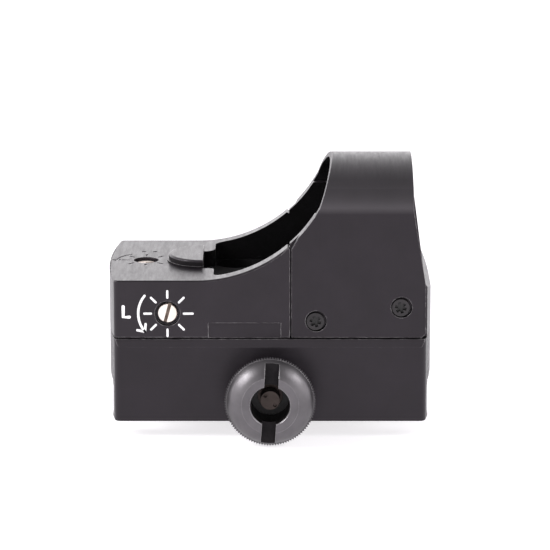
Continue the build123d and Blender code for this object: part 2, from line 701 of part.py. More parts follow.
def mount_blank():
    """Solid of the whole mount before it is split into base and jaw."""
    face = plan(HALF_L - MOUNT_INSET, HALF_W, 0.9)
    blank = extrude(Pos(0, 0, MOUNT_BOTTOM) * face, amount=SEAT_Z - MOUNT_BOTTOM)
    return fillet(blank.faces().sort_by(Axis.Z)[0].edges(), MOUNT_EDGE_R)


def side_profile(top):
    """(Y, Z) section of one side cheek on -Y, with its top bevel, rail wall and 45 degree lip."""
    bottom, bevel, lip = MOUNT_BOTTOM, 1.15, RAIL_BEVEL_Z - MOUNT_BOTTOM
    points = [
        (-HALF_W, bottom), (-HALF_W, top - bevel), (-HALF_W + 0.3, top), (SPLIT_Y, top),
        (SPLIT_Y, -0.2), (SPLIT_Y - 0.4, -0.6), (-RAIL_WALL_Y, -0.6), (-RAIL_WALL_Y, RAIL_BEVEL_Z),
        (-RAIL_WALL_Y + lip, bottom),
    ]
    outline = Plane((-BIG / 2, 0, 0), x_dir=(0, 1, 0), z_dir=(1, 0, 0))
    return extrude(outline * make_face(Polyline(*points, close=True)), amount=BIG, dir=(1, 0, 0))


def mount_base():
    """Fixed half of the mount: the top plate, the far cheek with its lip and the rail seat."""
    blank = mount_blank()
    plate = blank & block((-BIG, BIG), (SPLIT_Y + JAW_GAP, HALF_W - 2.6), (0, SEAT_Z))
    cheek = blank & mirror(side_profile(SEAT_Z), about=Plane.XZ)
    base = plate + cheek
    groove = BOLT_R + 0.2
    base = base - rod_y(0, BOLT_Z, groove, -BIG / 2, RAIL_WALL_Y)
    base = base - block((-groove, groove), (-BIG / 2, RAIL_WALL_Y - 0.3), (-BOLT_R, 0.4))
    base = base - rod_y(0, BOLT_Z, BOLT_R, -BIG / 2, BIG / 2)
    head = Pos(0, HALF_W - 0.8, BOLT_Z) * Rot(-90, 0, 0) * extrude(RegularPolygon(3.55, 6), amount=3)
    base = base - head
    for side in (1, -1):
        base = base - rod_z(SCREW_X, side * SCREW_Y, SCREW_R, -5.4, 1)
        base = base - rod_y(side * PIN_X, PIN_Z, PIN_R, -BIG / 2, -2.0)
        for x in (PEG_X, -PEG_X):
            base = base - rod_z(x, side * PEG_Y, PEG_R, -2.6, 1)
    return base


def clamp_jaw():
    """Moving half of the mount on the right side."""
    jaw = mount_blank() & side_profile(SEAT_Z - 0.2)
    jaw = jaw - rod_y(0, BOLT_Z, BOLT_R + 0.05, -BIG / 2, BIG / 2)
    for side in (1, -1):
        jaw = jaw - rod_y(side * PIN_X, PIN_Z, PIN_R + 0.05, -12.0, 0)
    return jaw


def jaw_pins():
    """Two pins in the base on which the jaw slides."""
    return [rod_y(side * PIN_X, PIN_Z, PIN_R, -11.8, -2.0) for side in (1, -1)]


def cross_bolt():
    """Clamp bolt across the rail, with a hexagon head in the far cheek."""
    tip, step = -HALF_W - 4.1, -HALF_W - HUB_T
    bolt = rod_y(0, BOLT_Z, BOLT_R, step, HALF_W - 0.75)
    bolt = bolt + rod_y(0, BOLT_Z, STUD_R, tip, step + 0.1)
    head = Pos(0, HALF_W - 0.78, BOLT_Z) * Rot(-90, 0, 0) * extrude(RegularPolygon(3.45, 6), amount=2)
    bolt = bolt + head
    for side in (1, -1):
        place = Pos(-side * 0.68, tip, BOLT_Z + side * 0.7)
        bolt = bolt - place * Rot(90, 0, 0) * Cylinder(0.27, 0.8)
    return bolt


def knurl_band(low, high):
    """Toothed disc between two distances from the jaw."""
    points = []
    for tooth in range(KNOB_TEETH):
        for share, radius in ((0.0, KNOB_R), (0.5, KNOB_R - TOOTH)):
            turn = 2 * math.pi * (tooth + share) / KNOB_TEETH
            points.append((radius * math.cos(turn), radius * math.sin(turn)))
    face = make_face(Polyline(*points, close=True))
    return extrude(Pos(0, 0, low) * face, amount=high - low)


def clamp_knob():
    """Knurled, slotted thumb nut; turned in its own axis, then laid along -Y."""
    rim = KNOB_R - TOOTH
    dome_mid = ((rim + KNOB_RING_R) / 2 + 0.22, (KNOB_RIM + KNOB_FACE) / 2 + 0.22)
    hub = 0.06
    edges = [
        Line((BOLT_R + FIT, hub), (4.6, hub)),
        Line((4.6, hub), (4.6, 1.3)),
        ThreePointArc((4.6, 1.3), (5.1, 2.9), (rim, KNOB_RIM - 0.5)),
        Line((rim, KNOB_RIM - 0.5), (rim, KNOB_RIM)),
        ThreePointArc((rim, KNOB_RIM), dome_mid, (KNOB_RING_R, KNOB_FACE)),
        Line((KNOB_RING_R, KNOB_FACE), (KNOB_BORE_R + 0.12, KNOB_FACE)),
        Line((KNOB_BORE_R + 0.12, KNOB_FACE), (KNOB_BORE_R, KNOB_FACE - 0.12)),
        Line((KNOB_BORE_R, KNOB_FACE - 0.12), (KNOB_BORE_R, HUB_T)),
        Line((KNOB_BORE_R, HUB_T), (BOLT_R + FIT, HUB_T)),
        Line((BOLT_R + FIT, HUB_T), (BOLT_R + FIT, hub)),
    ]
    section = Plane.XZ * make_face(Wire(edges))
    knob = revolve(section, Axis.Z, 360)
    band = knurl_band(KNOB_RIM - 0.45, KNOB_RIM) - Cylinder(KNOB_BORE_R + 1, 40)
    knob = knob + band
    slot = Pos(0, 0, KNOB_FACE - SLOT_DEPTH / 2 + 1) * Box(SLOT_W, 30, SLOT_DEPTH + 2)
    knob = knob - Rot(0, 0, -SLOT_TURN) * slot
    return Pos(0, -HALF_W, BOLT_Z) * Rot(90, 0, 0) * knob


# --- Files -------------------------------------------------------------------------------------
PARTS = {
    "main_body": main_body(),
    "lens_hood": lens_hood(),
    "hood_screws": hood_screws(),
    "lens": lens(),
    "lens_seal": lens_seal(),
    "lens_bezel": lens_bezel(),
    "emitter_cover": emitter_cover(),
    "emitter_window": emitter_window(),
    "windage_screw": WINDAGE_PLACE * adjuster_screw(WINDAGE_REACH, WINDAGE_CLIP),
    "windage_seal": WINDAGE_PLACE * adjuster_seal(),
    "windage_clip": WINDAGE_PLACE * adjuster_clip(WINDAGE_CLIP),
    "windage_nut": windage_nut(),
    "elevation_screw": ELEVATION_PLACE * adjuster_screw(ELEVATION_REACH, ELEVATION_CLIP),
    "elevation_seal": ELEVATION_PLACE * adjuster_seal(),
    "elevation_clip": ELEVATION_PLACE * adjuster_clip(ELEVATION_CLIP),
    "elevation_yoke": elevation_yoke(),
    "guide_rods": guide_rods(),
    "emitter_carrier": emitter_carrier(),
    "light_emitter": light_emitter(),
    "emitter_lead": emitter_lead(),
    "drive_cover": drive_cover(),
    "circuit_board": circuit_board(),
    "light_sensor": light_sensor(),
    "sensor_window": sensor_window(),
    "coin_cell": coin_cell(),
    "terminal_contact": terminal_contact(),
    "can_contact": can_contact(),
    "base_seal": base_seal(),
    "mounting_screws": mounting_screws(),
    "locating_pegs": locating_pegs(),
    "mount_base": mount_base(),
    "clamp_jaw": clamp_jaw(),
    "jaw_pins": jaw_pins(),
    "cross_bolt": cross_bolt(),
    "clamp_knob": clamp_knob(),
}

os.makedirs("parts", exist_ok=True)
for name, shape in PARTS.items():
    if isinstance(shape, list):
        shape = Compound(children=shape)
    export_step(shape, f"parts/{name}.step")
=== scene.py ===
"""Looks of the open reflex sight on its rail clamp: camera, light, floor, materials and painted marks."""

import math

import bmesh
import bpy
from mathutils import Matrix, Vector


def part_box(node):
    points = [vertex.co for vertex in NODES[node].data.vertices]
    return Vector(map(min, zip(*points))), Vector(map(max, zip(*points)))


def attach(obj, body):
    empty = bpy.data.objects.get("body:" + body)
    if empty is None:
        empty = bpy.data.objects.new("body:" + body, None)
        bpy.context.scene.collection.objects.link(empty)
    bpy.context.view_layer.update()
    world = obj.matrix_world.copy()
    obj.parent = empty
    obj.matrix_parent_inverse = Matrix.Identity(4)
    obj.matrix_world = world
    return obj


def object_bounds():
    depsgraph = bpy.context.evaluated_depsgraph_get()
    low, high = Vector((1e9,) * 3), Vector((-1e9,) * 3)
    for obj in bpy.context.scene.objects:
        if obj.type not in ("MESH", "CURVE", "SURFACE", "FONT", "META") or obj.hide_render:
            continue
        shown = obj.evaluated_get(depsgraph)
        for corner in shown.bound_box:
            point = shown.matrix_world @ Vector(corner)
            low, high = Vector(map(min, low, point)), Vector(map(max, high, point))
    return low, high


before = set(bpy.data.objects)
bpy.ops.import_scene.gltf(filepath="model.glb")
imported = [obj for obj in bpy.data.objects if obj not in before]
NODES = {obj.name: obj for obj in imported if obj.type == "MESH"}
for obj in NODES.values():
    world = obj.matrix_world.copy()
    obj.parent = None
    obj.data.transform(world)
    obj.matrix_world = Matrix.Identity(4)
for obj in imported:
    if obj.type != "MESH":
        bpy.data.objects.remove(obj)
cad_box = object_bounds()

MM = 0.001

# Places worked out from the frame
body_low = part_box("main_body")[0]
knob_low, knob_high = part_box("clamp_knob")
windage_low, windage_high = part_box("windage_screw")
WINDAGE_X = (windage_low.x + windage_high.x) / 2
WINDAGE_Z = (windage_low.z + windage_high.z) / 2
screws_low, screws_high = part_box("hood_screws")
KNOB_AXIS_Z = (knob_low.z + knob_high.z) / 2
SIDE_Y = body_low.y  # right-hand face of the sight
SEAT_Z = body_low.z  # underside of the sight
HOOD_CREASE_Z = SEAT_Z + 18.7 * MM  # where the flat side of the hood turns into its arch

# Where faces of the CAD parts lie, in millimetres. A pair is a range.
SLACK = 0.05
DECK_HEIGHT = 8.3  # above the underside of the sight, as is CHANNEL_LOWEST
DECK_FRONT_X = -7.9
ENGRAVED_FRONT_X = -11  # the marks on the deck lie behind it
ENGRAVED_DEPTH = (0.1, 0.2)
CHANNEL_X = (-9.62, 19)
CHANNEL_HALF_WIDTH = 10.36
CHANNEL_LOWEST = 2.5
HOOD_MIDDLE_Z = 18  # a height inside the opening of the hood
KNOB_SLOT_FLOOR = (1.4, 1.9)  # depth below the knob's outer end
KNOB_SLOT_WALL = (0.8, 1.2)  # distance of the walls from the slot's middle
KNOB_SLOT_R = 6.1  # how far the slot reaches from the axis
KNOB_BORE_R = 2.8
KNOB_BORE_DEPTH = 0.2  # faces of the bore lie deeper than this, the knob's end does not
KNURL_ROOT_R = 6.14
HEAD_WIDTH = 2.5  # across the head of a hood screw
STAR_R = 0.9
STAR_DEPTH = (0.05, 0.55)
WINDAGE_SLOT_DEPTH = (0.3, 0.7)
WINDAGE_HEAD_R = 1.35
SIDE_NORMAL_Z = 0.3  # a face of the emitter cover whose normal rises less than this is a side

# --- Camera ------------------------------------------------------------------------------------
CAMERA_ELEVATION = math.radians(13.6)
CAMERA_DISTANCE = 0.5
LENS_MM = 233.7
SENSOR_MM = 36
AIM = Vector((0.68 * MM, SIDE_Y, 15.9 * MM))


def add_camera():
    """Long lens in front of the right-hand side, a little above it."""
    data = bpy.data.cameras.new("camera")
    data.lens = LENS_MM
    data.sensor_width = SENSOR_MM
    data.clip_start, data.clip_end = 0.01, 20
    camera = bpy.data.objects.new("camera", data)
    bpy.context.scene.collection.objects.link(camera)
    back = Vector((0, -math.cos(CAMERA_ELEVATION), math.sin(CAMERA_ELEVATION)))
    camera.location = AIM + back * CAMERA_DISTANCE
    camera.rotation_mode = "QUATERNION"
    camera.rotation_quaternion = (-back).to_track_quat("-Z", "Y")
    bpy.context.scene.camera = camera


# --- Light and wear ------------------------------------------------------------------------------
SKY_FRONT, SKY_BACK = 1.6, 2.6  # strength of the sky low in front of the object and behind it
SKY_TOP = 0.25  # share of that overhead
SKY_TURN_Y = (-0.6, 0.8)  # where the sky goes from its front to its back strength
SKY_TURN_Z = (0.26, 0.72)  # where it goes from low to overhead
FLOOR_GLOW = 0.72  # share of the floor's white that casts no shadow
FLOOR_HALF = 3.0  # metres
BOX_SIZE = 0.3  # side of a softbox
LEFT_POWER, RIGHT_POWER = 3.6, 1.7
BARE_METAL = (0.42, 0.40, 0.41)  # worn edges of black parts
# colour of a lighter band along the hood's crease, fading upwards
PALE_BAND_COLOUR = (0.42, 0.40, 0.42)
PALE_BAND_SHARE = 0.085  # share of the pale colour in the lighter band along the hood's crease
LOW_GLOSS = 0.12  # for surfaces deep in shade


# --- Material helpers ----------------------------------------------------------------------------
def set_range(node, low, high, to_low, to_high):
    """Ends of a Map Range node."""
    for name, number in (("From Min", low), ("From Max", high), ("To Min", to_low), ("To Max", to_high)):
        node.inputs[name].default_value = number


class Graph:
    """Small helper that builds one node material."""

    def __init__(self, name):
        self.material = bpy.data.materials.new(name)
        self.material.use_nodes = True
        self.tree = self.material.node_tree
        self.shader = self.tree.nodes["Principled BSDF"]
        self.place = self.add("ShaderNodeTexCoord").outputs["Object"]

    def add(self, kind, **settings):
        node = self.tree.nodes.new(kind)
        for name, value in settings.items():
            setattr(node, name, value)
        return node

    def link(self, source, target):
        self.tree.links.new(source, target)

    def feed(self, value, socket):
        """Link a socket, or set a plain value."""
        if hasattr(value, "links"):
            self.link(value, socket)
        else:
            socket.default_value = value

    def math(self, operation, first, second=0.0):
        node = self.add("ShaderNodeMath", operation=operation)
        self.feed(first, node.inputs[0])
        self.feed(second, node.inputs[1])
        return node.outputs[0]

    def noise(self, scale, detail=4.0, stretch=None, roughness=0.55, place=None):
        place = place or self.place
        if stretch:
            mapping = self.add("ShaderNodeMapping")
            mapping.inputs["Scale"].default_value = stretch
            self.link(place, mapping.inputs["Vector"])
            place = mapping.outputs["Vector"]
        node = self.add("ShaderNodeTexNoise")
        node.inputs["Scale"].default_value = scale
        node.inputs["Detail"].default_value = detail
        node.inputs["Roughness"].default_value = roughness
        self.link(place, node.inputs["Vector"])
        return node.outputs["Fac"]

    def spread(self, value, low, high, to_low, to_high):
        """Map low..high to to_low..to_high, clamped."""
        node = self.add("ShaderNodeMapRange", clamp=True)
        self.feed(value, node.inputs["Value"])
        set_range(node, low, high, to_low, to_high)
        return node.outputs["Result"]

    def mix(self, share, first, second):
        """Blend two colours."""
        node = self.add("ShaderNodeMix", data_type="RGBA")
        self.feed(share, node.inputs["Factor"])
        for value, socket in ((first, node.inputs["A"]), (second, node.inputs["B"])):
            if hasattr(value, "links"):
                self.link(value, socket)
            else:
                socket.default_value = (*value, 1)
        return node.outputs["Result"]

    def edges(self, radius, low=0.004, high=0.12):
        """1 along convex and concave edges, 0 on flat areas."""
        bevel = self.add("ShaderNodeBevel", samples=4)
        bevel.inputs["Radius"].default_value = radius
        geometry = self.add("ShaderNodeNewGeometry")
        dot = self.add("ShaderNodeVectorMath", operation="DOT_PRODUCT")
        self.link(bevel.outputs["Normal"], dot.inputs[0])
        self.link(geometry.outputs["Normal"], dot.inputs[1])
        return self.spread(self.math("SUBTRACT", 1.0, dot.outputs["Value"]), low, high, 0.0, 1.0), bevel

    def bump(self, height, strength, distance, normal=None):
        node = self.add("ShaderNodeBump")
        node.inputs["Strength"].default_value = strength
        node.inputs["Distance"].default_value = distance
        self.link(height, node.inputs["Height"])
        if normal:
            self.link(normal, node.inputs["Normal"])
        self.link(node.outputs["Normal"], self.shader.inputs["Normal"])

    def set(self, **values):
        """Set uniform values or links on the shader by socket name (underscores for spaces)."""
        for name, value in values.items():
            socket = self.shader.inputs[name.replace("_", " ")]
            if isinstance(value, tuple) and len(value) == 3:
                value = (*value, 1)
            self.feed(value, socket)
        return self.material


def anodised(name, colour, roughness, wear, lines, gloss, pale_band_height=None):
    """Fine matte black coating over blasted aluminium, with bright bare lines worn along its edges.

    lines is the stretch of the brush marks. With a pale_band_height, a soft pale band lies at that height and
    fades upwards.
    """
    g = Graph(name)
    grain = g.noise(9000, detail=3, roughness=0.7)
    cloud = g.noise(160, detail=5)
    edge, bevel = g.edges(0.13 * MM, 0.01, 0.1)
    rub = g.spread(g.noise(1400, detail=5), 0.38, 0.62, 0.15, 1.0)
    worn = g.math("MULTIPLY", g.math("MULTIPLY", edge, rub), wear)
    dark = tuple(0.75 * c for c in colour)
    light = tuple(1.3 * c for c in colour)
    base = g.mix(g.spread(cloud, 0.3, 0.7, 0.0, 1.0), dark, light)
    base = g.mix(worn, base, BARE_METAL)
    if pale_band_height is not None:
        split = g.add("ShaderNodeSeparateXYZ")
        g.link(g.place, split.inputs[0])
        height = g.math("SUBTRACT", split.outputs["Z"], pale_band_height)
        band = g.math("MULTIPLY", g.spread(height, -0.9 * MM, 0.0, 0.0, 1.0),
                      g.spread(height, 0.4 * MM, 3.2 * MM, 1.0, 0.12))
        base = g.mix(g.math("MULTIPLY", band, PALE_BAND_SHARE), base, PALE_BAND_COLOUR)
    rough = g.spread(grain, 0.25, 0.75, roughness - 0.06, roughness + 0.07)
    streak = g.noise(1.0, detail=3, stretch=lines)
    rough = g.math("ADD", rough, g.spread(streak, 0.3, 0.7, -0.05, 0.05))
    g.bump(grain, 0.25, 0.02 * MM, bevel.outputs["Normal"])
    g.shader.inputs["Specular Tint"].default_value = (1.0, 0.92, 1.0, 1)
    return g.set(Base_Color=base, Roughness=rough, Metallic=0.0, Specular_IOR_Level=gloss)


def bare_metal(name, colour, roughness, metallic=1.0, tint=None):
    """Plain metal with fine grain, smudges and edges rounded in shading."""
    g = Graph(name)
    grain = g.noise(3000, detail=3)
    smudge = g.noise(350, detail=4)
    _, bevel = g.edges(0.06 * MM)
    tint = tint or tuple(0.75 * c for c in colour)
    base = g.mix(g.spread(smudge, 0.3, 0.7, 0.0, 1.0), colour, tint)
    rough = g.spread(g.math("ADD", grain, smudge), 0.7, 1.3, roughness - 0.06, roughness + 0.1)
    g.bump(grain, 0.15, 0.01 * MM, bevel.outputs["Normal"])
    return g.set(Base_Color=base, Roughness=rough, Metallic=metallic)


def turned_steel(name, colour, roughness):
    """Steel turned on a lathe round the knob's axis, with faint rings and smudges."""
    g = Graph(name)
    split = g.add("ShaderNodeSeparateXYZ")
    g.link(g.place, split.inputs[0])
    height = g.math("SUBTRACT", split.outputs["Z"], KNOB_AXIS_Z)
    square = g.math("ADD", g.math("MULTIPLY", split.outputs["X"], split.outputs["X"]),
                    g.math("MULTIPLY", height, height))
    radius = g.math("SQRT", square)
    ring_place = g.add("ShaderNodeCombineXYZ")
    g.link(g.math("ADD", radius, g.math("MULTIPLY", split.outputs["Y"], -1.0)), ring_place.inputs["X"])
    rings = g.noise(9000, detail=2, place=ring_place.outputs["Vector"])
    smudge = g.noise(420, detail=5)
    edge, bevel = g.edges(0.1 * MM)
    base = g.mix(g.spread(smudge, 0.3, 0.7, 0.0, 1.0), colour, tuple(0.8 * c for c in colour))
    base = g.mix(g.math("MULTIPLY", edge, 0.55), base, (0.62, 0.6, 0.61))
    rough = g.spread(smudge, 0.3, 0.7, roughness - 0.08, roughness + 0.08)
    g.bump(rings, 0.18, 0.01 * MM, bevel.outputs["Normal"])
    return g.set(Base_Color=base, Roughness=rough, Metallic=0.9)


def coated_glass(name):
    """Clear lens glass with a faint warm coating and light smudges."""
    g = Graph(name)
    smudge = g.noise(260, detail=4)
    rough = g.spread(smudge, 0.35, 0.75, 0.004, 0.05)
    tint = g.mix(g.spread(g.noise(90), 0.3, 0.7, 0.0, 1.0), (0.86, 0.93, 0.95), (0.92, 0.97, 0.97))
    g.set(Base_Color=tint, Roughness=rough, IOR=1.52, Transmission_Weight=1.0)
    g.shader.inputs["Specular Tint"].default_value = (1.0, 0.72, 0.55, 1)
    return g.material


def clear_pane(name):
    """Slightly smoky clear plastic."""
    g = Graph(name)
    tint = g.mix(g.spread(g.noise(700), 0.3, 0.7, 0.0, 1.0), (0.35, 0.3, 0.3), (0.5, 0.45, 0.45))
    return g.set(Base_Color=tint, Roughness=g.spread(g.noise(1500), 0.3, 0.7, 0.08, 0.2),
                 Transmission_Weight=0.7, IOR=1.49)


def plain(name, colour, second, roughness, scale=1500, metallic=0.0, gloss=0.5):
    """Matt moulded or filled surface with a fine mottle."""
    g = Graph(name)
    mottle = g.noise(scale, detail=5)
    base = g.mix(g.spread(mottle, 0.3, 0.7, 0.0, 1.0), colour, second)
    g.bump(mottle, 0.2, 0.02 * MM)
    rough = g.spread(g.noise(scale * 3), 0.3, 0.7, roughness - 0.08, roughness + 0.08)
    return g.set(Base_Color=base, Roughness=rough, Metallic=metallic, Specular_IOR_Level=gloss)


def board_laminate(name):
    """Green board with paler tracks."""
    g = Graph(name)
    brick = g.add("ShaderNodeTexBrick")
    brick.inputs["Scale"].default_value = 700
    brick.inputs["Mortar Size"].default_value = 0.06
    g.link(g.place, brick.inputs["Vector"])
    base = g.mix(brick.outputs["Fac"], (0.012, 0.11, 0.04), (0.03, 0.22, 0.09))
    return g.set(Base_Color=base, Roughness=g.spread(g.noise(1200), 0.3, 0.7, 0.3, 0.45))


def floor_paper(name):
    """White studio paper that glows by itself, so that only soft shadows show."""
    g = Graph(name)
    base = g.mix(g.noise(30, detail=6), (0.44, 0.43, 0.45), (0.46, 0.45, 0.47))
    g.bump(g.noise(900, detail=3), 0.02, 0.02 * MM)
    g.shader.inputs["Emission Color"].default_value = (1.0, 0.985, 1.0, 1)
    g.shader.inputs["Emission Strength"].default_value = FLOOR_GLOW
    return g.set(Base_Color=base, Roughness=g.spread(g.noise(50), 0.3, 0.7, 0.6, 0.7), Specular_IOR_Level=0.2)


def give(material, *names):
    """Put one material on CAD nodes."""
    for name in names:
        data = NODES[name].data
        data.materials.clear()
        data.materials.append(material)


def give_some(name, material, chosen):
    """Put a second material on the faces of a CAD node that chosen(centre, normal) picks."""
    data = NODES[name].data
    data.materials.append(material)
    slot = len(data.materials) - 1
    for face in data.polygons:
        if chosen(face.center / MM, face.normal):
            face.material_index = slot


def in_channel(centre, normal):
    """Faces of the body inside the channel, which get painted shade."""
    height = centre.z - SEAT_Z / MM
    on_deck = height > DECK_HEIGHT - SLACK and normal.z > 0.5 and centre.x < DECK_FRONT_X
    inside = abs(centre.y) < CHANNEL_HALF_WIDTH and CHANNEL_X[0] < centre.x < CHANNEL_X[1]
    return inside and not on_deck and height > CHANNEL_LOWEST


def under_roof(centre, normal):
    """Inner faces of the hood, which get painted shade."""
    return abs(normal.x) < 0.5 and centre.y * normal.y + (centre.z - HOOD_MIDDLE_Z) * normal.z < 0


def knob_radius(centre):
    """Distance from the knob's axis."""
    return math.hypot(centre.x, centre.z - KNOB_AXIS_Z / MM)


def in_knob_slot(centre, normal):
    """Floor and walls of the knob's slot, which get painted shade."""
    depth = centre.y - knob_low.y / MM
    inner, outer = KNOB_SLOT_WALL
    on_floor = normal.y < -0.98 and KNOB_SLOT_FLOOR[0] < depth < KNOB_SLOT_FLOOR[1] and abs(centre.x) < outer
    beside = abs(normal.x) > 0.97 and inner < abs(centre.x) < outer
    return on_floor or (beside and depth > SLACK and knob_radius(centre) < KNOB_SLOT_R)


def in_bore(centre, normal):
    """Bore of the knob, with its floor, which gets painted shade."""
    return knob_radius(centre) < KNOB_BORE_R and centre.y - knob_low.y / MM > KNOB_BORE_DEPTH


def on_knurl(centre, normal):
    """Teeth round the knob's rim, which get darker steel as painted shade."""
    return knob_radius(centre) > KNURL_ROOT_R


def in_star(centre, normal):
    """Recesses of the hood screws, which get painted shade."""
    front = min(abs(screws_low.y), abs(screws_high.y)) / MM
    shallow, deep = STAR_DEPTH
    return front - deep < abs(centre.y) < front - shallow and star_distance(centre) < STAR_R


def star_distance(centre):
    """Distance from the axis of the nearer hood screw; both pairs of screws are equally wide."""
    radius = HEAD_WIDTH / 2
    low = (screws_low.x / MM + radius, screws_low.z / MM + radius)
    high = (screws_high.x / MM - radius, screws_high.z / MM - radius)
    return min(math.hypot(centre.x - x, centre.z - z) for x, z in (low, high))


def in_marks(centre, normal):
    """Floors of the engraved marks on the deck."""
    sunk = SEAT_Z / MM + DECK_HEIGHT - centre.z
    return normal.z > 0.9 and ENGRAVED_DEPTH[0] < sunk < ENGRAVED_DEPTH[1] and centre.x < ENGRAVED_FRONT_X


def in_windage_slot(centre, normal):
    """Floor of the windage screw's slot, which gets painted shade."""
    depth = centre.y - windage_low.y / MM
    across = max(abs(centre.x - WINDAGE_X / MM), abs(centre.z - WINDAGE_Z / MM))
    return WINDAGE_SLOT_DEPTH[0] < depth < WINDAGE_SLOT_DEPTH[1] and across < WINDAGE_HEAD_R


def on_cover_side(centre, normal):
    """Sides of the emitter cover, which get painted shade."""
    return abs(normal.z) < SIDE_NORMAL_Z


def paint_cad():
    """Materials of every CAD node."""
    upright, level = (2500, 300, 160), (160, 300, 2500)  # stretch of the brush marks
    body = anodised("body_black", (0.0080, 0.0064, 0.0082), 0.34, wear=0.9, lines=upright, gloss=0.36)
    hood = anodised("hood_black", (0.0080, 0.0065, 0.0083), 0.38, wear=0.8, lines=upright, gloss=0.34,
                    pale_band_height=HOOD_CREASE_Z)
    mount = anodised("mount_black", (0.0068, 0.0054, 0.0071), 0.38, wear=0.9, lines=level, gloss=0.35)
    # near-black painted shade inside the channel and under the hood's roof
    inner = plain("painted_shade_black", (0.0012, 0.0010, 0.0013), (0.0022, 0.0018, 0.0023), 0.85, gloss=LOW_GLOSS)
    # dark painted shade in the knob's slot and on the sides of the emitter cover
    recess_shade = plain("recess_painted_shade", (0.006, 0.005, 0.006), (0.012, 0.010, 0.0115), 0.5, gloss=LOW_GLOSS)
    # near-black painted shade in the knob's bore and in the recesses of the hood screws
    hollow_shade = plain("hollow_painted_shade", (0.0020, 0.0016, 0.0018), (0.0050, 0.0040, 0.0044), 0.45)
    # darker steel all round the knurled rim: painted shade for the shaded underside of the rim
    knurl_shade = bare_metal("knurl_shaded_steel", (0.10, 0.094, 0.10), 0.42, metallic=0.8)
    # dark brass on the floor of the windage screw's slot: painted shade
    slot_brass_shade = plain("slot_brass_shade", (0.10, 0.075, 0.06), (0.26, 0.2, 0.16), 0.45, metallic=0.5)
    white = plain("mark_filling", (0.50, 0.49, 0.51), (0.62, 0.61, 0.63), 0.6, scale=2500)
    give(body, "main_body", "emitter_cover", "drive_cover", "lens_bezel")
    give(hood, "lens_hood")
    give(mount, "mount_base", "clamp_jaw")
    give(bare_metal("black_steel", (0.030, 0.027, 0.029), 0.3, metallic=0.5),
         "hood_screws", "mounting_screws")
    give(bare_metal("bolt_steel", (0.052, 0.040, 0.036), 0.38, metallic=0.8), "cross_bolt")
    give(turned_steel("knob_steel", (0.14, 0.132, 0.14), 0.36), "clamp_knob")
    give(bare_metal("pale_brass", (1.0, 0.96, 0.93), 0.34, tint=(0.84, 0.73, 0.65)),
         "windage_screw", "elevation_screw")
    give(bare_metal("brass", (0.75, 0.5, 0.22), 0.32), "windage_nut", "terminal_contact", "can_contact")
    give(bare_metal("bright_steel", (0.6, 0.6, 0.6), 0.28),
         "windage_clip", "elevation_clip", "guide_rods", "locating_pegs", "jaw_pins", "coin_cell")
    give(plain("black_rubber", (0.012, 0.012, 0.012), (0.02, 0.02, 0.02), 0.7),
         "lens_seal", "windage_seal", "elevation_seal", "base_seal")
    give(plain("carrier_plastic", (0.02, 0.02, 0.021), (0.032, 0.032, 0.033), 0.5),
         "elevation_yoke", "emitter_carrier")
    give(plain("chip_resin", (0.5, 0.03, 0.02), (0.7, 0.06, 0.04), 0.25), "light_emitter")
    give(plain("sensor_resin", (0.02, 0.02, 0.025), (0.05, 0.04, 0.05), 0.2), "light_sensor")
    give(plain("amber_film", (0.4, 0.16, 0.03), (0.5, 0.22, 0.05), 0.35), "emitter_lead")
    give(board_laminate("board_laminate"), "circuit_board")
    give(coated_glass("coated_glass"), "lens")
    give(clear_pane("clear_pane"), "emitter_window", "sensor_window")
    give_some("main_body", inner, in_channel)
    give_some("lens_hood", inner, under_roof)
    give_some("main_body", white, in_marks)
    give_some("clamp_knob", recess_shade, in_knob_slot)
    give_some("clamp_knob", hollow_shade, in_bore)
    give_some("clamp_knob", knurl_shade, on_knurl)
    give_some("hood_screws", hollow_shade, in_star)
    give_some("windage_screw", slot_brass_shade, in_windage_slot)
    give_some("emitter_cover", recess_shade, on_cover_side)


# --- Marks ----------------------------------------------------------------------------------------
MARK_LIFT = 0.03 * MM  # how far the paint stands proud
MARK_SUNK = 0.02 * MM  # and how far it reaches into the face
ROUND_STEPS = 6  # points on a round end of a stroke
ARC_STEPS = 16
BARB_LEAN = 42  # degrees between an arrow's barb and its shaft
TICKS = 8


def ribbon(points, width):
    """Outline of a stroke of that width along points, with round ends; 2-D."""
    half = width / 2
    left, right = [], []
    for i, p in enumerate(points):
        a = points[max(i - 1, 0)]
        b = points[min(i + 1, len(points) - 1)]
        d = Vector((b[0] - a[0], b[1] - a[1])).normalized()
        n = Vector((-d.y, d.x))
        left.append((p[0] + n.x * half, p[1] + n.y * half))
        right.append((p[0] - n.x * half, p[1] - n.y * half))

    def cap(centre, start):
        turns = [start - math.pi * (k + 1) / (ROUND_STEPS + 1) for k in range(ROUND_STEPS)]
        return [(centre[0] + half * math.cos(t), centre[1] + half * math.sin(t)) for t in turns]

    last = Vector((points[-1][0] - points[-2][0], points[-1][1] - points[-2][1]))
    first = Vector((points[0][0] - points[1][0], points[0][1] - points[1][1]))
    end = cap(points[-1], math.atan2(last.y, last.x) + math.pi / 2)
    begin = cap(points[0], math.atan2(first.y, first.x) + math.pi / 2)
    return left + end + right[::-1] + begin


